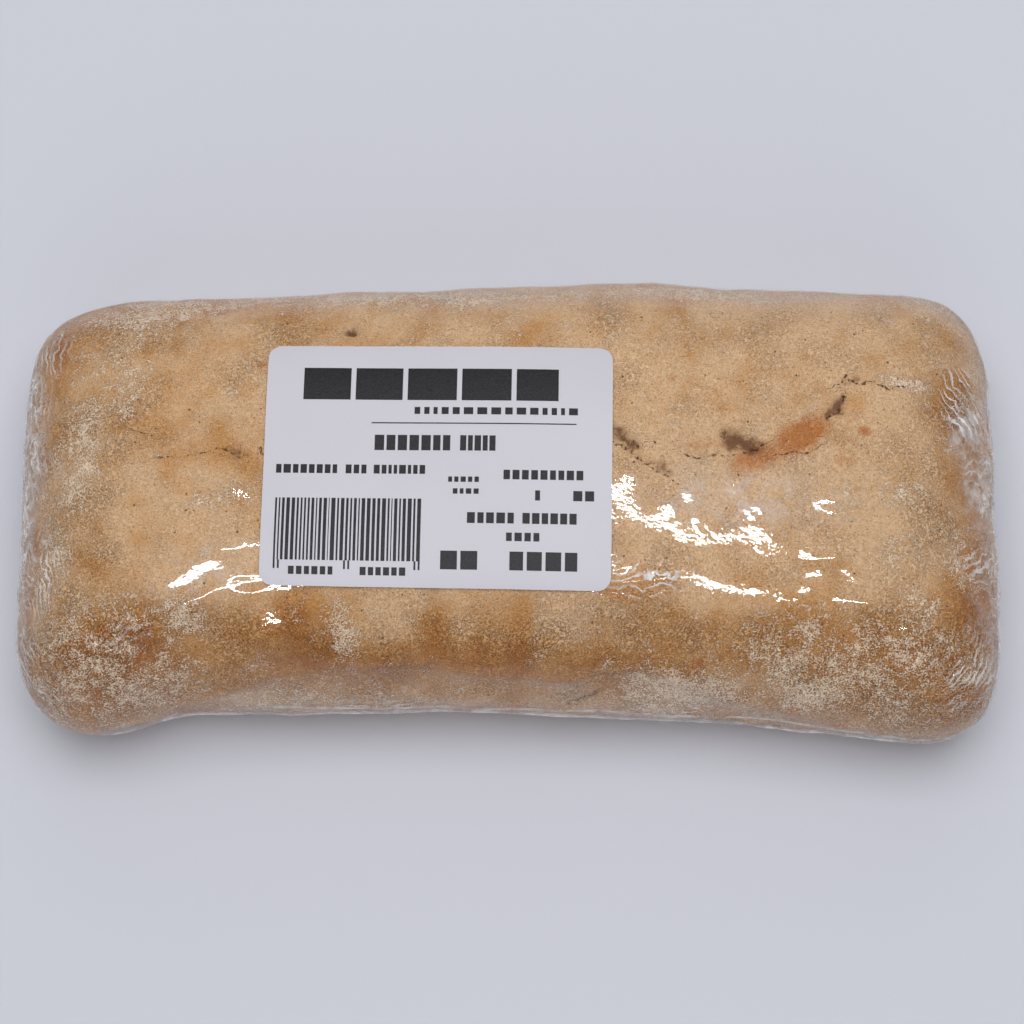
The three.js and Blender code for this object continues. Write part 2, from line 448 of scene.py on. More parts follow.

# %% [markdown]
# ## Where the crust is brown, floury or stained
#
# The oven browns what stands up and out: the shoulders and corners. Bench flour stays in loose
# patches where the dough was handled, and most thickly on the lower flank. These are slow
# changes over centimetres, so each is a number at every point of the mesh, and the material
# adds the fine grain. The patches are listed one by one. In every list of patches below, a row holds
# the patch's middle, its reach along and across the roll, its turn, and its strength.

# %% Browning
BROWN_PATCHES = [
    (-37, -25, 8, 6, 0, 0.45), (-62, -25, 9, 4, 10, 0.55), (-64, -32, 14, 6, 10, 0.60),
    (-24, -30, 10, 2.6, 0, 0.40), (-4, -29, 8, 3, 0, 0.35), (12, -30, 8, 3, 0, 0.30),
    (-12.4, -24, 2.0, 8, 0, 0.25), (2, -24, 1.8, 8, 0, 0.25), (76, -2, 5, 16, 5, 0.60),
    (74, 14, 4, 6, -25, 0.50), (66, -30, 5, 4, 0, 0.45), (73, -34, 6, 5, 30, 0.55),
    (70, 26, 8, 5, -30, 0.15), (-76, 22, 4, 8, 20, 0.45), (-49, 31, 5, 2, 0, 0.30),
    (-66, -8, 10, 9, 0, 0.08), (-46, -12, 8, 7, 0, 0.02), (-60, 8, 12, 6, 0, 0.06),
    (-78, -14, 3, 10, 0, 0.40), (44, -10, 3, 2, 0, 0.18), (36, -27, 16, 7, 0, 0.30),
    (76, -18, 5, 8, 0, 0.60), (56, -28, 14, 7, 0, 0.35), (-20, 24, 6, 4, 0, 0.10),
    (20, -18, 5, 3, 0, 0.25), (-70, 28, 8, 4, 20, 0.25),
]
browning = 0.16 + 0.16 * bumps(base, 12, 6) + 0.14 * bumps(base, 4.5, 7)
browning -= 0.10 * smoothstep(-20, 30, x)
browning += 0.05 * smoothstep(-17, -26, y) * up
browning += 0.10 * smoothstep(-20, -28, y) * smoothstep(40, 56, np.abs(x))
browning -= 0.10 * smoothstep(-20, -12, y) * smoothstep(4, -4, y)
for *place, strength in BROWN_PATCHES:
    browning += strength * oval(base, *place) * up
# Extra browning in the creases is painted shade in them; the lower flank is browned a little too.
browning += 0.12 * crease + 0.06 * below_seam * steep
# A browner band just above the ledge is painted shade along the seam.
seam_shade_band = np.exp(-((z - seam_height - 2.5) / 2.5) ** 2) * (y < 0)
browning += 0.22 * seam_shade_band * smoothstep(55, 40, np.abs(x))
browning = np.clip(browning, 0, 1)
print("browned over a third:", round(100 * np.mean(browning > 0.33), 1), "% of the crust")

# %% Flour
FLOUR_PATCHES = [
    (-71, 3, 4, 9, 0, 0.30), (-64, 14, 8, 5, 30, 0.21), (-48, -4, 8, 2.2, 12, 0.20),
    (-27, -25, 2.4, 6.5, 10, 0.32), (-53, -24, 6, 4, 30, 0.27), (-68, -31, 14, 10, 0, 0.24),
    (-72, -26, 6, 3, 20, 0.28), (-58, -32, 8, 4, 10, 0.28), (46, -28, 10, 6, -8, 0.25),
    (60, -30, 16, 8, 0, 0.26), (66, -22, 5, 4, 30, 0.28), (50, -33, 10, 3, 0, 0.30),
    (66, 16.4, 5, 1.2, -4, 0.40), (76, 13, 3, 8, -35, 0.24), (28, -33, 12, 3.5, 0, 0.33),
    (60, -4, 10, 4, 20, 0.16), (-20, 33, 40, 3, 0, 0.26), (-60, 30, 14, 4, 12, 0.28),
    (30, 34, 30, 2.4, 0, 0.26), (-75, -12, 4, 9, 0, 0.26), (-66, 22, 9, 5, 30, 0.17),
    (64, -12, 5, 4, 30, 0.18), (-34, -36, 20, 3, 0, 0.31), (10, -37, 26, 2, 0, 0.27),
    (72, 33, 10, 4, 0, 0.20), (74, -12, 5, 8, 0, 0.20), (74, -30, 7, 7, 0, 0.24),
]
THIN_FLOUR = 0.10


def strongest(patches):
    """At each point of the form, the strength of the patch that is strongest there."""
    most = np.zeros(len(base))
    for *place, strength in patches:
        most = np.maximum(most, strength * oval(base, *place))
    return most


flour = THIN_FLOUR + 0.06 * bumps(base, 8, 8) + 0.06 * below_seam * steep
flour = np.maximum(flour, THIN_FLOUR + strongest(FLOUR_PATCHES))
flour = np.clip(flour + 0.09 * bumps(base, 4.5, 9, 3) + 0.05 * bumps(base, 1.8, 13), 0, 1)
print("floured over a third:", round(100 * np.mean(flour > 0.34), 1), "% of the crust")

# %% Chapped crust, rough and finely cracked, along the front and round the corners
chapped = 0.10 + 0.38 * smoothstep(-18, -27, y) + 0.26 * smoothstep(58, 72, np.abs(x))
chapped = np.clip(chapped + 0.25 * bumps(base, 7, 14, 2), 0, 0.85)
print("chapped over a third:", round(100 * np.mean(chapped > 0.33), 1), "% of the crust")

# %% Rust-coloured stains, where the torn crust scorched, and pale dusty hollows
STAINS = [
    (47.6, 6.4, 5.4, 2.8, 28, 1.15), (40.6, 2.8, 5.2, 2.4, 20, 0.90),
    (32.0, 4.8, 5.0, 1.2, 4, 0.45), (-49.8, 30.5, 2.2, 1.3, 0, 1.0), (58.3, 7.8, 1.1, 0.9, 0, 0.95),
    (55.2, 2.8, 2.2, 1.6, 0, 0.55), (62.0, 20.9, 1.4, 0.9, 0, 0.5), (26.8, 16.3, 0.9, 0.8, 0, 0.6),
    (-41, 18.8, 0.8, 1.0, 0, 0.7), (30.9, -29.8, 1.0, 0.8, 0, 1.0), (27.5, -31.4, 2.2, 0.6, 15, 0.5),
    (12.1, 29.7, 1.4, 0.9, 0, 0.35), (-52, 6.2, 6.0, 2.0, 8, 0.25), (-79, -20, 1.2, 1.6, 0, 0.8),
    (38.6, -11.6, 4.0, 2.0, 0, 0.30), (50, -10, 1.0, 2.4, 0, 0.3), (56.5, -2.4, 1.0, 0.8, 0, 0.5),
]
DUSTY_HOLLOWS = [
    (30.8, 0.8, 6.0, 2.0, 0, 0.9), (47.5, 1.2, 6.0, 2.4, 0, 0.70), (22.0, 5.6, 5.0, 2.8, 0, 0.45),
    (51.6, 5.2, 3.0, 2.0, 40, 0.6), (57.0, 2.0, 4.0, 4.0, 0, 0.4), (31.6, 7.2, 5.0, 1.8, 0, 0.4),
]
stain = strongest(STAINS)
dusty = strongest(DUSTY_HOLLOWS)
print("stained:", round(100 * np.mean(stain > 0.3), 1), "% of the crust")

# %% [markdown]
# ## The crust's material
#
# Bread crust is a dry, matt, slightly translucent skin of gelled starch, browned by the oven.
# Its colour runs from pale straw to caramel with the baking, and it is never even: there is a
# mottle of a few millimetres, a grain of a quarter to half a millimetre, pin-head pores and specks
# of bran. Flour lies on it as separate white grains, so it is a threshold on fine noise with only
# a thin tint under it.

# %% Crust colours
# The tear and crack colours are painted shade in those openings; the rest are the crust's own
# colours.
CRUST = {name: linear(colour) for name, colour in {
    "pale": "DDC1A0", "golden": "CD9F6A", "caramel": "B4783A", "rust": "C08048",
    "dusty": "D6C0A4", "flour": "F3E4D2", "floured": "DCC4A4", "pit": "76543A",
    "crack_shade": "4A2814", "chapped": "865222", "pore": "6A4426", "speck": "7A5230"}.items()}


# %% Crust material
def make_crust():
    material, tree = new_material("baked_crust")
    place = add(tree, "ShaderNodeTexCoord").outputs["Object"]
    mottle, clump, fine, grain = (
        add(tree, "ShaderNodeTexNoise", {"Vector": place, "Scale": 1 / (size * MM),
            "Detail": detail, "Roughness": 0.6})
        for size, detail in ((3.4, 3), (1.3, 3), (0.62, 3), (0.25, 2)))
    field = {name: add(tree, "ShaderNodeAttribute", attribute_name=name).outputs["Fac"]
             for name in ("browning", "flour", "chapped", "stain", "dusty", "pit", "crack_side")}

    # The bake: a slow change over centimetres, broken up by a mottle and a grain.
    bake = add(tree, "ShaderNodeMath", [mottle, 0.70, field["browning"]], operation="MULTIPLY_ADD")
    bake = add(tree, "ShaderNodeMath", [fine, 0.55, bake], operation="MULTIPLY_ADD")
    golden = add(tree, "ShaderNodeMapRange", [bake, 0.62, 1.15], interpolation_type="SMOOTHSTEP")
    caramel = add(tree, "ShaderNodeMapRange", [bake, 1.05, 1.75], interpolation_type="SMOOTHSTEP")

    def broken_up(name, low, high, most, *noises):
        """A field with noises added to it, as a share that grows from 0 at low to most at high."""
        total = field[name]
        for noise, amount in noises:
            total = add(tree, "ShaderNodeMath", [noise, amount, total], operation="MULTIPLY_ADD")
        return add(tree, "ShaderNodeMapRange", [total, low, high, 0, most])

    # Rust stains and dusty patches have soft edges. Flour lies as separate grains, which crowd
    # together where there is more of it, over a thin veil. A tear is painted dark by its own depth,
    # as painted shade in its hollow.
    rust = broken_up("stain", 0.55, 1.25, 0.90, (clump, 0.8))
    dust = broken_up("dusty", 0.60, 1.05, 0.75, (clump, 0.6))
    powder = broken_up("flour", 1.21, 1.31, 0.82, (clump, 0.72), (grain, 1.10))
    veil = broken_up("flour", 0.55, 0.95, 0.12, (clump, 0.6))
    hollow = broken_up("pit", 1.90, 2.40, 0.95, (clump, 0.9), (fine, 0.9), (grain, 1.3))

    # A crack is a thin line of painted shade with a ragged edge.
    ragged = add(tree, "ShaderNodeMath", [clump, 1.5, field["crack_side"]],
                 operation="MULTIPLY_ADD")
    ragged = add(tree, "ShaderNodeMath", [ragged, 0.75], operation="SUBTRACT")
    ragged = add(tree, "ShaderNodeMath", [ragged], operation="ABSOLUTE")
    crack_width = add(tree, "ShaderNodeMapRange", [fine, 0.42, 0.64, -0.12, 0.34])
    crack_shade = add(tree, "ShaderNodeMath", [crack_width, ragged], operation="SUBTRACT")
    crack_shade = add(tree, "ShaderNodeMapRange", [crack_shade, 0.0, 0.12, 0, 0.85])

    # Chapped crust has a net of hair-fine dark lines between its grains.
    net = add(tree, "ShaderNodeMath", [fine, 0.5], operation="SUBTRACT")
    net = add(tree, "ShaderNodeMath", [net], operation="ABSOLUTE")
    net = add(tree, "ShaderNodeMapRange", [net, 0.050, 0.0, 0, 1.25])
    net = add(tree, "ShaderNodeMath", [net, field["chapped"]], operation="MULTIPLY")

    # Pores are rare pin-pricks: only some of the cells of a 1.7 mm pattern have one.
    cells = add(tree, "ShaderNodeTexVoronoi", {"Vector": place, "Scale": 1 / (1.7 * MM)})
    chance = add(tree, "ShaderNodeSeparateColor", [cells.outputs["Color"]])
    pore = add(tree, "ShaderNodeMath", [chance.outputs[0], 0.19, -0.055], operation="MULTIPLY_ADD")
    pore = add(tree, "ShaderNodeMath", [pore, cells.outputs["Distance"]], operation="SUBTRACT")
    pore = add(tree, "ShaderNodeMapRange", [pore, 0.0, 0.03, 0, 0.85])

    layers = ((golden, "golden"), (caramel, "caramel"), (rust, "rust"), (dust, "dusty"),
              (net, "chapped"), (pore, "pore"), (veil, "floured"), (powder, "flour"),
              (hollow, "pit"), (crack_shade, "crack_shade"))
    colour = CRUST["pale"]
    for share, name in layers:
        colour = add(tree, "ShaderNodeMix", {0: share, 6: colour, 7: CRUST[name]},
                     data_type="RGBA")

    # The grain lightens and darkens all of it, most where the crust is chapped.
    light = add(tree, "ShaderNodeMath", [fine, 0.6, grain], operation="MULTIPLY_ADD")
    light = add(tree, "ShaderNodeMath", [light, 0.8], operation="SUBTRACT")
    harsh = add(tree, "ShaderNodeMath", [field["chapped"], 1.4, 0.95], operation="MULTIPLY_ADD")
    light = add(tree, "ShaderNodeMath", [light, harsh], operation="MULTIPLY")
    light = add(tree, "ShaderNodeMapRange", [light, -0.27, 0.27])
    light = add(tree, "ShaderNodeMix", {0: light, 6: linear("EACDA8"), 7: [1.53, 1.55, 1.57, 1]},
                data_type="RGBA")
    colour = add(tree, "ShaderNodeMix", {0: 1.0, 6: colour, 7: light}, data_type="RGBA",
                 blend_type="MULTIPLY")
    speck = add(tree, "ShaderNodeMapRange", [grain, 0.36, 0.28, 0, 0.55])
    colour = add(tree, "ShaderNodeMix", {0: speck, 6: colour, 7: CRUST["speck"]},
                 data_type="RGBA")

    # Flour grains stand up; pores, cracks and the net go down.
    height = add(tree, "ShaderNodeMath", [fine, 0.8, grain], operation="MULTIPLY_ADD")
    for layer, rise in ((powder, 0.3), (pore, -0.8), (crack_shade, -1.4), (net, -0.5)):
        height = add(tree, "ShaderNodeMath", [layer, rise, height], operation="MULTIPLY_ADD")
    skin = add(tree, "ShaderNodeBump", {"Strength": 1.0, "Distance": 0.30 * MM, "Height": height})
    surface = add(tree, "ShaderNodeBsdfPrincipled", {
        "Base Color": colour, "Roughness": 0.8, "IOR": 1.45, "Specular IOR Level": 0.2,
        "Normal": skin})
    add(tree, "ShaderNodeOutputMaterial", [surface])
    return material


crust = make_crust()
print("crust nodes:", len(crust.node_tree.nodes))

# %% The loaf piece
loaf_mesh = form.copy()
set_points(loaf_mesh, crust_points)
set_fields(loaf_mesh, browning=browning, flour=flour, stain=stain, dusty=dusty, pit=pit,
           crack_side=crack_side, chapped=chapped)
dress(loaf_mesh, crust, smooth=True)
loaf = link_object("baked_loaf", loaf_mesh)
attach(loaf, "root")
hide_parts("loaf")
print("loaf triangles:", 2 * len(loaf_mesh.polygons))

# %% [markdown]
# ## The film
#
# Stretch film is a soft plastic sheet a hundredth of a millimetre thick. Pulled tight, it lies
# on the crust's high points and bridges its pits and creases. That is found here by relaxing a
# height again and again while never letting it sink into the crust, which is what tension does.
# A cloth simulation would find the same shape far more slowly at this size of cell.

# %% Film pulled over the crust
CLEARANCE = 0.06
BRIDGING_ROUNDS = 60
BRIDGING_ROUNDS_AT_ENDS = 160
EASING_ROUNDS = 3
EASED_OUT = 0.008
SLACK = 0.05
RAISED_FLATS = 0.04

floor_of_film = relief + CLEARANCE
pulled = floor_of_film.copy()
at_ends = smoothstep(66, 76, np.abs(x))
for bridging_round in range(BRIDGING_ROUNDS_AT_ENDS):
    tension = 1 if bridging_round < BRIDGING_ROUNDS else at_ends
    pulled = np.maximum(floor_of_film, pulled + (relaxed(pulled) - pulled) * tension)
for _ in range(EASING_ROUNDS):
    pulled = relaxed(pulled) + EASED_OUT
pulled += SLACK * bumps(base, 7, 21)
pulled = relaxed(np.maximum(floor_of_film, laid_flat(pulled, RAISED_FLATS)))
pulled = np.maximum(pulled, relief + CLEARANCE / 2)
gap = pulled - relief
print("film stands", round(gap.min(), 2), "to", round(gap.max(), 2), "mm off the crust")

# %% [markdown]
# Where the film was gathered and tucked under, it keeps sharp parallel wrinkles, and it is
# strained into thin ripples at the corner of the label. Each group is a set of lines with a
# spacing, a direction and a reach. Over an end, the distance along the film is the distance out
# plus the distance down.

# %% Groups of wrinkles
unrolled = np.abs(x) - z + film_high[2]
unrolled_flank = np.abs(y) - z + film_high[2]
# Each group: its side (-1 left end, 1 right end, 0 top, 2 front, -2 back), middle along and
# across, reach, direction of its lines in degrees, spacing in mm, how far off its lines meet, and
# strength.
WRINKLES = [
    (1, 84, 15, 9, 7, -32, 1.5, 60, 1.0), (1, 92, 3, 8, 4, 6, 1.9, 30, 0.8),
    (1, 90, -14, 9, 5, 20, 1.9, 40, 0.8), (1, 90, -30, 10, 6, 50, 1.6, 40, 0.8),
    (-1, 90, 20, 8, 10, 75, 2.0, 60, 0.7), (-1, 92, 2, 9, 6, 55, 2.2, 60, 0.6),
    (-1, 90, -15, 9, 7, 62, 1.6, 40, 1.0), (-1, 92, -30, 9, 6, 55, 1.6, 40, 0.7),
    (0, 21, -17.2, 7.5, 3.4, 2, 1.7, 22, 1.0), (0, -62, -25, 6, 3, 30, 1.5, 40, 0.30),
    (1, 114, 0, 14, 40, 0, 2.6, -60, 0.75), (-1, 114, 0, 14, 40, 0, 2.6, -60, 0.75),
    (2, 56, -22, 4, 16, 90, 1.3, 90, 0.5), (2, 56, 30, 4, 18, 90, 1.3, 90, 0.45),
    (2, 70, 40, 9, 36, 6, 3.4, -200, 0.45), (2, 70, -40, 9, 36, -6, 3.4, -200, 0.45),
    (-2, 70, 40, 9, 36, -6, 3.4, -200, 0.45), (-2, 70, -40, 9, 36, 6, 3.4, -200, 0.45),
]
RIDGE_HEIGHT = 0.22
CRUMPLE_HEIGHT = 0.35

wrinkle_phase = np.zeros(len(base))
wrinkle = np.zeros(len(base))
wobble = bumps(base, 7, 10, 2)
sides = {1: (x > 40, unrolled, y), -1: (x < -40, unrolled, y), 0: (z > 25, x, y),
         2: (y < -20, unrolled_flank, x), -2: (y > 20, unrolled_flank, x)}
for side, along, across, reach_a, reach_c, turn, spacing, meet, strength in WRINKLES:
    here, distance, position = sides[side]
    da, dc = distance - along, position - across
    share = strength * np.exp(-((da / reach_a) ** 2 + (dc / reach_c) ** 2) ** 1.5) * here
    c, s = math.cos(math.radians(turn)), math.sin(math.radians(turn))
    lengthwise, sideways = da * c + dc * s, dc * c - da * s
    phase = (np.arctan2(sideways, lengthwise + meet) * meet + 1.1 * wobble) / spacing
    wins = share > wrinkle
    wrinkle[wins] = share[wins]
    wrinkle_phase[wins] = phase[wins]
ridges = np.maximum(np.cos(math.pi * wrinkle_phase), 0) * wrinkle
pulled += RIDGE_HEIGHT * ridges * (1 - resting)
crumples = np.abs(bumps(base, 4.2, 22)) * smoothstep(76, 82, np.abs(x))
pulled += CRUMPLE_HEIGHT * crumples * (1 - resting)
print("wrinkled:", round(100 * np.mean(wrinkle > 0.3), 1), "% of the film")

# %% Folds that run along the lower flanks, where the film turns under
# Each fold: its side (-1 front, 1 back), its ends along the roll, its height at the left end, in
# the middle and at the right end, half its width, how far it stands out, and how milky it is;
# that milky white is partly painted highlight along the lower rim.
FOLDS = [
    (-1, -68, 78, 11.5, 13.0, 10.5, 0.9, 0.55, 0.75),
    (-1, -40, 20, 16.0, 15.0, 15.5, 0.6, 0.25, 0.60),
    (-1, 20, 72, 14.5, 16.0, 15.0, 0.6, 0.25, 0.60),
    (1, -70, 76, 15.0, 17.0, 14.0, 0.8, 0.40, 0.55),
]
FOLD_FADE = 4

fold = np.zeros(len(base))
for side, left, right, at_left, halfway, at_right, half_width, out, milkiness_and_sheen in FOLDS:
    line = np.interp(x, [left, (left + right) / 2, right], [at_left, halfway, at_right])
    line = line + 0.9 * bumps(base * [1, 0, 0], 11, 31 + half_width)
    ridge = np.exp(-((z - line) / half_width) ** 2)
    ends = smoothstep(left - FOLD_FADE, left + FOLD_FADE, x)
    ends = ends * smoothstep(right + FOLD_FADE, right - FOLD_FADE, x)
    ridge *= ends * (y * side > 15)
    pulled += out * ridge
    # The milky white on a fold is partly the film's own cloudiness and partly painted highlight
    # along the lower rim.
    fold = np.maximum(fold, milkiness_and_sheen * ridge)
print("folds cover", round(100 * np.mean(fold > 0.2), 1), "% of the film")

# %% Milky places in the film, and painted sheen round two highlights
# Most patches are cloudy gathered film; the ones at (36, -4.5) and (-50, -17) are painted sheen
# round the highlights there.
MILKY_AND_SHEEN_PATCHES = [
    (36, -4.5, 16, 4.5, 0, 0.35), (76, 10, 3, 6, -20, 0.6), (78, -1, 4, 6, 0, 0.5),
    (-26, -33, 16, 2, 5, 0.08), (15, -34, 20, 2, 0, 0.06), (-81, 4, 3.4, 24, 0, 0.75),
    (80, -24, 4, 10, 0, 0.3), (-50, -17, 8, 4, 24, 0.25), (81, 8, 3, 10, 0, 0.55),
]
milky = strongest(MILKY_AND_SHEEN_PATCHES) * (z > 6)

# Crumpled where it was gathered: round both ends, and low down where it was tucked under.
crumpled = 0.9 * smoothstep(76, 82, np.abs(x)) + 0.5 * smoothstep(15, 7, z)
crumpled += 0.8 * oval(base, -84, 14, 6, 20) + 0.4 * oval(base, 84, -6, 5, 26)
crumpled = np.clip(crumpled, 0, 1)
print("crumpled:", round(100 * np.mean(crumpled > 0.3), 1), "% of the film")

# %% Film mesh, open where its edges meet underneath
LOWEST_FILM = 0.02
HIGHEST_UNDERSIDE = 0.6
UNDERSIDE_RIM = 1.2
OPEN_HALF_LENGTH = 58 * MM
OPEN_HALF_WIDTH = 5 * MM

film_points = base + outward * pulled[:, None]
film_points[:, 2] = np.maximum(film_points[:, 2], LOWEST_FILM)
beneath_loaf = z < loaf_low[2] + UNDERSIDE_RIM
film_points[beneath_loaf, 2] = np.minimum(film_points[beneath_loaf, 2], HIGHEST_UNDERSIDE)
film_mesh = form.copy()
set_points(film_mesh, film_points)
set_fields(film_mesh, wrinkle=wrinkle, wrinkle_phase=wrinkle_phase, gap=gap, milky=milky,
           fold=fold, crumpled=crumpled)
underside = bmesh.new()
underside.from_mesh(film_mesh)
in_gap = [f for f in underside.faces
          if f.normal.z < -0.9 and abs(f.calc_center_median().y) < OPEN_HALF_WIDTH
          and abs(f.calc_center_median().x) < OPEN_HALF_LENGTH]
bmesh.ops.delete(underside, geom=in_gap, context="FACES")
underside.to_mesh(film_mesh)
underside.free()
print("film:", len(film_mesh.polygons), "faces")

# %% [markdown]
# The film is clear polyethylene: most light goes straight through, and about a twentieth of
# what meets it is mirrored, more at a glancing angle. Where it clings to the crust, trapped air
# breaks its highlights into beads. Where it is folded or stands away it looks milky; the white
# on its wrinkles and folds is partly painted reflection, and a white haze round two highlights
# is painted sheen.

# %% Film material
def make_film():
    material, tree = new_material("stretch_film_clear")
    place = add(tree, "ShaderNodeTexCoord").outputs["Object"]
    slack, patches, crumple, cloud, beads = (
        add(tree, "ShaderNodeTexNoise", {"Vector": place, "Scale": 1 / (size * MM),
            "Detail": detail, "Roughness": 0.6})
        for size, detail in ((6.0, 1), (5.0, 2), (4.2, 2), (2.6, 3), (1.1, 1)))
    field = {name: add(tree, "ShaderNodeAttribute", attribute_name=name).outputs["Fac"]
             for name in ("wrinkle", "wrinkle_phase", "gap", "milky", "crumpled", "fold")}

    # Each wrinkle is a narrow ridge; the noise lets it wander, fork, swell and fade.
    phase = add(tree, "ShaderNodeMath", [cloud, 2.4, field["wrinkle_phase"]],
                operation="MULTIPLY_ADD")
    phase = add(tree, "ShaderNodeMath", [phase, math.pi], operation="MULTIPLY")
    wave = add(tree, "ShaderNodeMath", [phase], operation="SINE")
    wave = add(tree, "ShaderNodeMath", [wave], operation="ABSOLUTE")
    wave = add(tree, "ShaderNodeMath", [slack, 0.5, wave], operation="MULTIPLY_ADD")
    crest = add(tree, "ShaderNodeMapRange", [wave, 1.06, 1.28], interpolation_type="SMOOTHSTEP")
    patchy = add(tree, "ShaderNodeMapRange", [patches, 0.38, 0.60, 0.10, 1.0])
    folded = add(tree, "ShaderNodeMath", [crest, field["wrinkle"]], operation="MULTIPLY")
    folded = add(tree, "ShaderNodeMath", [folded, patchy], operation="MULTIPLY")

    # Crumples are thin creases that wander at random, wherever the film was gathered.
    lines = add(tree, "ShaderNodeMath", [crumple, 0.5], operation="SUBTRACT")
    lines = add(tree, "ShaderNodeMath", [lines], operation="ABSOLUTE")
    lines = add(tree, "ShaderNodeMapRange", [lines, 0.024, 0.006, 0, 1.0])
    lines = add(tree, "ShaderNodeMath", [lines, field["crumpled"]], operation="MULTIPLY")
    lines = add(tree, "ShaderNodeMath", [lines, patchy], operation="MULTIPLY")
    folded = add(tree, "ShaderNodeMath", [folded, lines], operation="MAXIMUM")

    # Where the film clings, beads of trapped air break up what it mirrors.
    touching = add(tree, "ShaderNodeMapRange", [field["gap"], 0.40, 0.10, 0.12, 0.42])
    cling = add(tree, "ShaderNodeMath", [beads, touching], operation="MULTIPLY")
    height = add(tree, "ShaderNodeMath", [slack, 0.5, cling], operation="MULTIPLY_ADD")
    height = add(tree, "ShaderNodeMath", [folded, 1.2, height], operation="MULTIPLY_ADD")
    surface = add(tree, "ShaderNodeBump", {"Strength": 1.0, "Distance": 0.08 * MM,
                  "Height": height})

    fresnel = add(tree, "ShaderNodeFresnel", {"IOR": 1.5, "Normal": surface})
    mirror = add(tree, "ShaderNodeMath", [fresnel, 1.1], operation="MULTIPLY")
    mirror = add(tree, "ShaderNodeMath", [mirror, 0.22], operation="MINIMUM")
    edge_on = add(tree, "ShaderNodeLayerWeight", {"Blend": 0.5}).outputs["Facing"]
    edge_on = add(tree, "ShaderNodeMapRange", [edge_on, 0.80, 0.97, 0, 0.45])
    mirror = add(tree, "ShaderNodeMath", [mirror, edge_on], operation="ADD")
    clear = add(tree, "ShaderNodeBsdfTransparent", {"Color": [0.985, 0.985, 0.99, 1]})
    shine = add(tree, "ShaderNodeBsdfGlossy", {"Color": [1, 1, 1, 1], "Roughness": 0.05,
                "Normal": surface})
    sheet = add(tree, "ShaderNodeMixShader", [mirror, clear, shine])

    milk = add(tree, "ShaderNodeBsdfDiffuse", {"Color": linear("FCFBFA")})
    standing = add(tree, "ShaderNodeMapRange", [field["gap"], 0.9, 2.4, 0, 0.18])
    drifts = add(tree, "ShaderNodeMapRange", [cloud, 0.42, 0.62, 0.05, 0.85])
    # The milky patches add cloudy film at the ends and painted sheen round two highlights.
    haze_and_sheen = add(tree, "ShaderNodeMath", [drifts, field["milky"]], operation="MULTIPLY")
    # The white on wrinkle crests and crumples is partly the cloudiness of doubled film and partly
    # painted reflection.
    haze_and_sheen = add(tree, "ShaderNodeMath", [folded, 0.9, haze_and_sheen], operation="MULTIPLY_ADD")
    haze_and_sheen = add(tree, "ShaderNodeMath", [haze_and_sheen, standing])
    haze_and_sheen = add(tree, "ShaderNodeMath", [patchy, field["fold"], haze_and_sheen], operation="MULTIPLY_ADD",
               use_clamp=True)
    cloudy_and_sheen = add(tree, "ShaderNodeMixShader", [haze_and_sheen, sheet, milk])
    add(tree, "ShaderNodeOutputMaterial", [cloudy_and_sheen])
    return material


clear_film = make_film()
dress(film_mesh, clear_film, smooth=True)
film = link_object("film_wrap", film_mesh)
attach(film, "root")
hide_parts("stretch_film")
print("film nodes:", len(clear_film.node_tree.nodes))

# %% [markdown]
# ## The label
#
# The label is thermal paper, stiff enough to bend smoothly over the film instead of following
# each bump. Its height is a smooth polynomial surface fitted to the film below it, then lifted
# until nearly all of that film is under it. Its sheet is a fine grid with its corners pulled
# round.

# %% Label sheet
LABEL_SIZE = (57.0, 41.0)
LABEL_CORNER = 2.2
LABEL_TURN = math.radians(-0.8)
LABEL_THICKNESS = 0.10
LABEL_GRID = (114, 82)
FITTED_HALF = (30, 22)
FITTED_SCALE = (28, 20)
FIT_POWERS = 6
TOP_ABOVE = 25
NEARLY_ALL = 99.9
LABEL_CLEARANCE = 0.05

label_centre = (label_low + label_high)[:2] / 2
under_u, under_v = (film_points[:, :2] - label_centre).T
beneath = (np.abs(under_u) < FITTED_HALF[0]) & (np.abs(under_v) < FITTED_HALF[1])
beneath &= film_points[:, 2] > TOP_ABOVE


def smooth_terms(u, v):
    """The products of powers of u and v that a smooth surface is summed from."""
    u, v = u / FITTED_SCALE[0], v / FITTED_SCALE[1]
    return np.stack([u ** i * v ** j for i in range(FIT_POWERS) for j in range(FIT_POWERS - i)],
                    axis=1)


terms = smooth_terms(under_u[beneath], under_v[beneath])
bend, *_ = np.linalg.lstsq(terms, film_points[beneath, 2], rcond=None)
lift = np.percentile(film_points[beneath, 2] - terms @ bend, NEARLY_ALL) + LABEL_CLEARANCE
print("label lifted", round(lift, 2), "mm over the fitted film")


def laid_on_film(u, v, above=0):
    """Points of the label's own plane, turned with it and put some mm over its underside."""
    c, s = math.cos(LABEL_TURN), math.sin(LABEL_TURN)
    u, v = u * c - v * s, u * s + v * c
    height = smooth_terms(u, v) @ bend + lift + above
    return np.stack([u + label_centre[0], v + label_centre[1], height], axis=1)


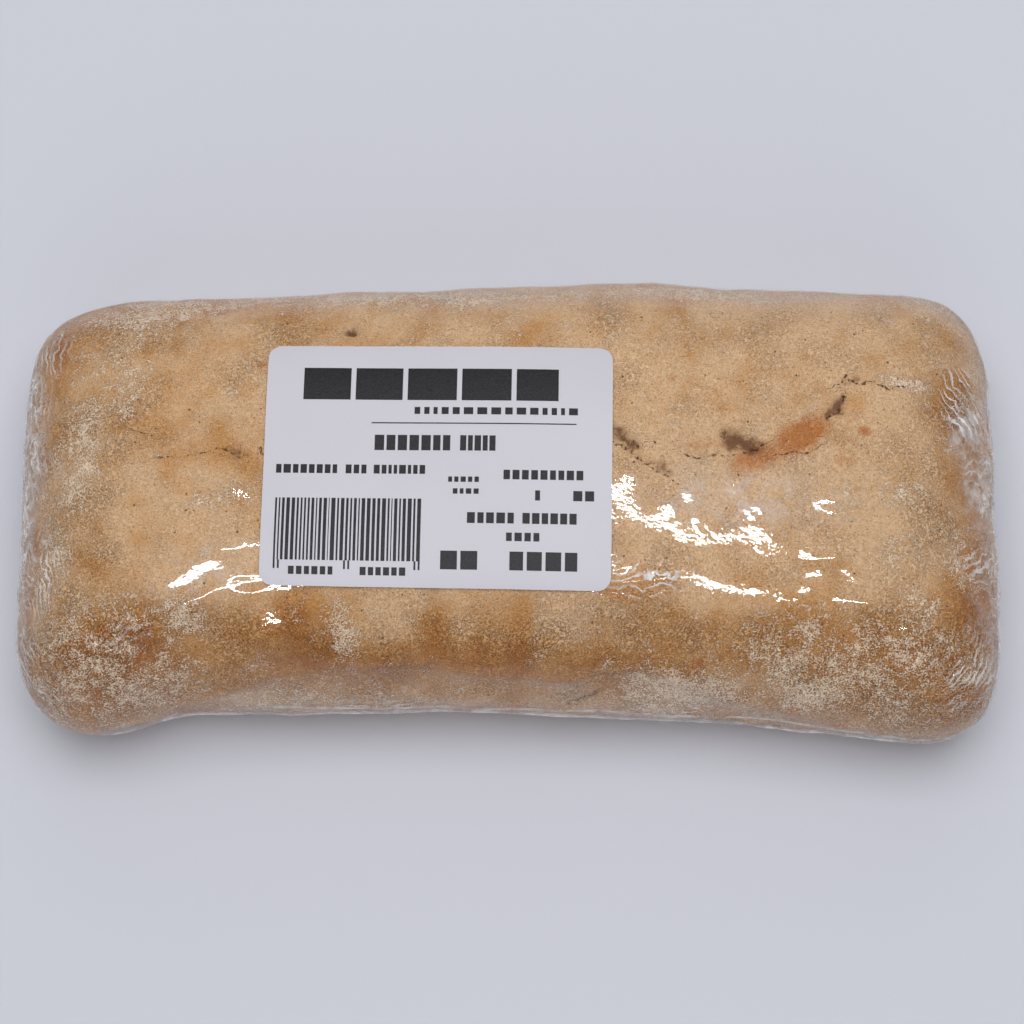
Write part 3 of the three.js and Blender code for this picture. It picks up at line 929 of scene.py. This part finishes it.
def label_mesh():
    half = np.array(LABEL_SIZE) / 2
    grid_u, grid_v = (np.linspace(-h, h, n + 1) for h, n in zip(half, LABEL_GRID))
    u, v = (g.ravel() for g in np.meshgrid(grid_u, grid_v, indexing="ij"))
    du, dv = np.abs(u) - (half[0] - LABEL_CORNER), np.abs(v) - (half[1] - LABEL_CORNER)
    corner = (du > 0) & (dv > 0)
    pull = np.where(corner, np.maximum(du, dv) / np.maximum(np.hypot(du, dv), 1e-9), 1)
    u = np.where(corner, np.sign(u) * (half[0] - LABEL_CORNER + du * pull), u)
    v = np.where(corner, np.sign(v) * (half[1] - LABEL_CORNER + dv * pull), v)
    rows, columns = LABEL_GRID[0] + 1, LABEL_GRID[1] + 1
    index = np.arange(rows * columns).reshape(rows, columns)
    quads = np.stack([index[:-1, :-1], index[1:, :-1], index[1:, 1:], index[:-1, 1:]], axis=-1)
    mesh = bpy.data.meshes.new("paper_label")
    mesh.from_pydata((laid_on_film(u, v) * MM).tolist(), [], quads.reshape(-1, 4).tolist())
    return mesh


paper_rough = link_object("label_form", label_mesh())
wall = paper_rough.modifiers.new("wall", "SOLIDIFY")
wall.thickness = LABEL_THICKNESS * MM
wall.offset = 1
paper_mesh = finished(paper_rough)
bpy.data.objects.remove(paper_rough)
print("label faces:", len(paper_mesh.polygons))

# %% Label paper material
def make_paper():
    """Coated thermal paper: a dull, faintly blue white with a very fine tooth."""
    material, tree = new_material("thermal_paper")
    place = add(tree, "ShaderNodeTexCoord").outputs["Object"]
    fibres, cloud = (
        add(tree, "ShaderNodeTexNoise", {"Vector": place, "Scale": 1 / (size * MM),
            "Detail": detail, "Roughness": 0.6})
        for size, detail in ((0.7, 4), (14, 1)))
    share = add(tree, "ShaderNodeMath", [fibres, 0.4, cloud], operation="MULTIPLY_ADD")
    colour = add(tree, "ShaderNodeMix", {0: share, 6: linear("D3D1DB"), 7: linear("DAD8E2")},
                 data_type="RGBA")
    tooth = add(tree, "ShaderNodeBump", {"Strength": 0.6, "Distance": 0.02 * MM,
                "Height": fibres})
    surface = add(tree, "ShaderNodeBsdfPrincipled", {"Base Color": colour, "Roughness": 0.5,
                  "IOR": 1.5, "Specular IOR Level": 0.3, "Normal": tooth})
    add(tree, "ShaderNodeOutputMaterial", [surface])
    return material


dress(paper_mesh, make_paper())
paper = link_object("paper_label", paper_mesh)
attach(paper, "root")
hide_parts("shelf_label")

# %% [markdown]
# A thermal printer blackens the paper's coating dot by dot. The print here is left generic: plain
# bars stand in for the words, and the run of upright bars carries no code. Every row is the same
# idea, marks of uneven length with an even gap between them, so one Geometry Nodes tree makes
# them all, and each row is then bent to the label's surface.

# %% Tree for a row of marks
MARK_INPUTS = (("Marks", "Int"), ("Shortest", "Float"), ("Longest", "Float"), ("Gap", "Float"),
               ("Length", "Float"), ("Height", "Float"), ("Seed", "Int"), ("Ink", "Material"))
MARK_GRID = (4, 9)


def make_row_tree():
    tree = bpy.data.node_groups.new("row_of_marks", "GeometryNodeTree")
    for name, kind in MARK_INPUTS:
        tree.interface.new_socket(name, in_out="INPUT", socket_type="NodeSocket" + kind)
    tree.interface.new_socket("Marks", in_out="OUTPUT", socket_type="NodeSocketGeometry")
    given = add(tree, "NodeGroupInput").outputs
    line = add(tree, "GeometryNodeMeshLine", {"Count": given["Marks"]})
    mark = add(tree, "FunctionNodeRandomValue", {
        2: given["Shortest"], 3: given["Longest"], "Seed": given["Seed"]}, data_type="FLOAT")
    mark = mark.outputs[1]
    step = add(tree, "ShaderNodeMath", [mark, given["Gap"]], operation="ADD")
    places = add(tree, "GeometryNodeAccumulateField", [step], data_type="FLOAT").outputs
    run = add(tree, "ShaderNodeMath", [places["Total"], given["Gap"]], operation="SUBTRACT")
    stretch = add(tree, "ShaderNodeMath", [given["Length"], run], operation="DIVIDE")
    middle = add(tree, "ShaderNodeMath", [mark, 0.5, places["Trailing"]],
                 operation="MULTIPLY_ADD")
    middle = add(tree, "ShaderNodeMath", [middle, stretch], operation="MULTIPLY")
    length = add(tree, "ShaderNodeMath", [mark, stretch], operation="MULTIPLY")
    place = add(tree, "ShaderNodeCombineXYZ", [middle])
    spread = add(tree, "GeometryNodeSetPosition", {"Geometry": line, "Position": place})
    block = add(tree, "GeometryNodeMeshGrid", {"Size X": 1.0, "Size Y": 1.0,
                "Vertices X": MARK_GRID[0], "Vertices Y": MARK_GRID[1]})
    size = add(tree, "ShaderNodeCombineXYZ", [length, given["Height"], 1.0])
    marks = add(tree, "GeometryNodeInstanceOnPoints", {"Points": spread, "Instance": block,
                "Scale": size})
    real = add(tree, "GeometryNodeRealizeInstances", [marks])
    inked = add(tree, "GeometryNodeSetMaterial", {"Geometry": real, "Material": given["Ink"]})
    add(tree, "NodeGroupOutput", [inked])
    return tree


row_tree = make_row_tree()
print("nodes for a row:", len(row_tree.nodes))


# %% Thermal ink
def make_ink():
    """Blackened thermal coating: dull, never quite black, with paler places where dots failed."""
    material, tree = new_material("thermal_print")
    place = add(tree, "ShaderNodeTexCoord").outputs["Object"]
    dots = add(tree, "ShaderNodeTexNoise", {"Vector": place, "Scale": 1 / (0.25 * MM),
               "Detail": 2})
    worn = add(tree, "ShaderNodeMapRange", [dots, 0.30, 0.75])
    colour = add(tree, "ShaderNodeMix", {0: worn, 6: linear("1B1A1D"), 7: linear("34333A")},
                 data_type="RGBA")
    tooth = add(tree, "ShaderNodeBump", {"Strength": 0.4, "Distance": 0.01 * MM, "Height": dots})
    surface = add(tree, "ShaderNodeBsdfPrincipled", {"Base Color": colour, "Roughness": 0.5,
                  "Specular IOR Level": 0.3, "Normal": tooth})
    add(tree, "ShaderNodeOutputMaterial", [surface])
    return material


ink = make_ink()

# %% Rows of print
# Each row: left and right end and bottom and top, in mm from the label's middle, the number of
# marks, then the shortest and the longest mark and the gap as shares of a usual mark's length.
PRINT_ROWS = [
    (-22.4, 19.6, 10.8, 16.4, 5, 0.8, 1.2, 0.12), (-4.0, 22.8, 8.4, 9.6, 15, 0.5, 1.4, 0.55),
    (-11.0, 22.6, 6.75, 6.95, 9, 1.0, 1.0, 0.0), (-10.4, 2.0, 2.2, 4.8, 7, 0.8, 1.2, 0.3),
    (3.6, 9.4, 2.2, 4.8, 5, 0.8, 1.2, 0.3), (-26.4, -16.4, -1.8, -0.3, 8, 0.6, 1.4, 0.4),
    (-15.0, -11.6, -1.8, -0.3, 3, 0.8, 1.2, 0.4), (-10.4, -2.0, -1.8, -0.3, 8, 0.6, 1.4, 0.4),
    (1.8, 6.8, -3.1, -2.2, 5, 0.8, 1.2, 0.5), (2.6, 6.8, -5.1, -4.2, 4, 0.8, 1.2, 0.5),
    (10.8, 23.8, -2.6, -1.0, 9, 0.8, 1.2, 0.4), (16.0, 16.8, -6.1, -4.4, 1, 1.0, 1.0, 0.0),
    (22.2, 25.6, -6.1, -4.4, 2, 1.0, 1.0, 0.3), (5.0, 12.6, -10.0, -8.2, 5, 0.8, 1.2, 0.35),
    (14.0, 22.8, -10.0, -8.2, 6, 0.8, 1.2, 0.35), (11.4, 16.8, -12.9, -11.5, 4, 0.8, 1.2, 0.4),
    (0.8, 6.8, -17.6, -14.6, 2, 0.9, 1.1, 0.2), (12.0, 23.0, -17.6, -14.6, 4, 0.8, 1.2, 0.25),
    (-26.3, -2.5, -16.4, -6.0, 34, 0.4, 2.0, 0.8), (-23.8, -16.6, -18.7, -17.4, 6, 0.8, 1.2, 0.4),
    (-12.2, -4.8, -18.7, -17.4, 6, 0.8, 1.2, 0.4), (-26.3, -25.3, -17.8, -16.4, 2, 1.0, 1.0, 1.2),
    (-14.9, -13.9, -17.8, -16.4, 2, 1.0, 1.0, 1.2), (-3.5, -2.5, -17.8, -16.4, 2, 1.0, 1.0, 1.2),
]
PRINT_LIFT = 0.02


def row_of_marks(left, right, bottom, top, marks, shortest, longest, gap, seed):
    """One row as a flat mesh, then turned and laid on the label."""
    row = link_object("row", bpy.data.meshes.new("row"))
    maker = row.modifiers.new("marks", "NODES")
    maker.node_group = row_tree
    values = (marks, shortest, longest, gap, (right - left) * MM, (top - bottom) * MM, seed, ink)
    sockets = [item for item in row_tree.interface.items_tree if item.in_out == "INPUT"]
    for socket, value in zip(sockets, values):
        maker[socket.identifier] = value
    mesh = finished(row)
    bpy.data.objects.remove(row)
    u, v, _ = (points_of(mesh) + [left, (bottom + top) / 2, 0]).T
    set_points(mesh, laid_on_film(u, v, LABEL_THICKNESS + PRINT_LIFT))
    return mesh


joined = bmesh.new()
for seed, row in enumerate(PRINT_ROWS):
    joined.from_mesh(row_of_marks(*row, seed))
print_mesh = bpy.data.meshes.new("label_print")
joined.to_mesh(print_mesh)
joined.free()
dress(print_mesh, ink)
label_print = link_object("label_print", print_mesh)
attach(label_print, "root")
print("printed marks:", len(print_mesh.polygons) // ((MARK_GRID[0] - 1) * (MARK_GRID[1] - 1)))

# %% [markdown]
# ## Floor and light
#
# The floor is plain and pale. Three large soft lights, overhead, behind and in front, light the
# roll, most from above, so that its front flank is shaded. Two narrow bright strips light
# nothing: they are there to be mirrored, and their reflections are the highlights on the film.
# The room glows a little too, more from the sides than from above.

# %% Floor
FLOOR_HALF = 2
FLOOR_DROP = 0.01 * MM

floor_mesh = bpy.data.meshes.new("floor")
floor_corners = [(FLOOR_HALF * i, FLOOR_HALF * j, 0)
                 for i, j in ((-1, -1), (1, -1), (1, 1), (-1, 1))]
floor_mesh.from_pydata(floor_corners, [], [(0, 1, 2, 3)])
floor = link_object("floor", floor_mesh)
floor_material, floor_tree = new_material("pale_floor")
floor_surface = add(floor_tree, "ShaderNodeBsdfPrincipled", {
    "Base Color": linear("DDE0EC"), "Roughness": 0.7, "Specular IOR Level": 0.2})
add(floor_tree, "ShaderNodeOutputMaterial", [floor_surface])
floor_mesh.materials.append(floor_material)
floor.location.z = -FLOOR_DROP

# %% Lights
LIGHTS = [
    # name, size in x and y and place in metres, watts, draws highlights instead of lighting
    ("soft_overhead", (0.9, 0.7), (0.0, 0.08, 1.0), 6.3, False),
    ("soft_back", (0.9, 0.7), (0.0, 0.75, 0.75), 1.3, False),
    ("soft_front", (0.9, 0.7), (0.0, -0.85, 0.60), 1.55, False),
    ("front_strip", (0.30, 0.022), (-0.005, -0.198, 0.62), 1.2, True),
    ("top_strip", (0.32, 0.018), (0.04, 0.085, 0.65), 0.95, True),
]
for name, size, place, watts, for_highlights in LIGHTS:
    lamp = bpy.data.lights.new(name, "AREA")
    lamp.shape = "RECTANGLE"
    lamp.size, lamp.size_y = size
    lamp.energy = watts
    light = bpy.data.objects.new(name, lamp)
    light.location = place
    light.rotation_euler = (-Vector(place)).to_track_quat("-Z", "Y").to_euler()
    light.visible_glossy = for_highlights
    light.visible_diffuse = not for_highlights
    bpy.context.collection.objects.link(light)

world = bpy.data.worlds.new("studio")
world.use_nodes = True
sky = world.node_tree
sky.nodes.clear()
direction = add(sky, "ShaderNodeTexCoord").outputs["Generated"]
upward = add(sky, "ShaderNodeSeparateXYZ", [direction]).outputs["Z"]
glow = add(sky, "ShaderNodeMapRange", [upward, 0.0, 0.8, 0.34, 0.13])
room = add(sky, "ShaderNodeBackground", {"Color": linear("F8F5F1"), "Strength": glow})
add(sky, "ShaderNodeOutputWorld", [room])
bpy.context.scene.world = world
bpy.context.scene.view_settings.view_transform = "Standard"
print("lights:", len(LIGHTS))
